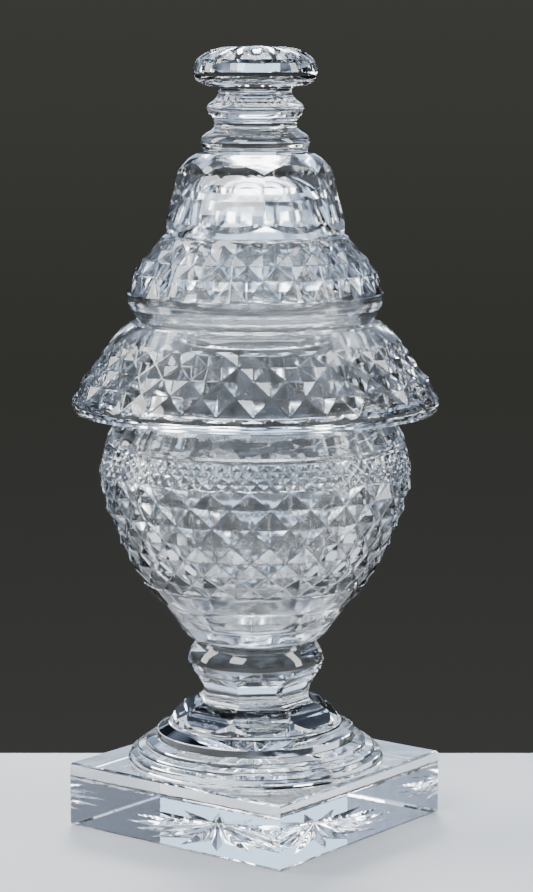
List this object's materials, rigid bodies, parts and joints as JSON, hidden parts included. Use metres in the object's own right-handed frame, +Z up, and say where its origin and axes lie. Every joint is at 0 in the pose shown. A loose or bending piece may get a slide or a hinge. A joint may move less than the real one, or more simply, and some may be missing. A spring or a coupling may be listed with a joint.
{
  "type": "covered pedestal jar",
  "caption": "Cut-glass covered jar: a bowl with a turned-over rim on a stem, stepped foot and square plinth, with a lift-off domed cover and mushroom finial.",
  "frame": {"origin": "middle of the plinth's underside", "axes": "+Z up along the jar's axis; X and Y along the plinth's sides"},
  "size_m": [0.1314, 0.1314, 0.2807],
  "materials": {
    "plain_crystal": "clear pressed and ground lead glass, fire-polished, star cut underneath",
    "turned_crystal": "clear lead glass worked at the chair, with polished flat panels",
    "cut_crystal": "clear lead glass cut with raised diamonds and flutes, acid-bright edges"
  },
  "bodies": {
    "jar": {"square_plinth": "plain_crystal", "stepped_foot": "plain_crystal", "stem_knop": "turned_crystal", "bowl": "cut_crystal", "turnover_rim": "cut_crystal"},
    "cover": {"cover_dome": "cut_crystal", "finial_neck": "turned_crystal", "finial_knob": "turned_crystal"}
  },
  "joints": [
    {"name": "cover_lift", "type": "slide", "parent": "jar", "child": "cover", "axis": [0, 0, 1], "range_m": [0, 0.12]}
  ]
}
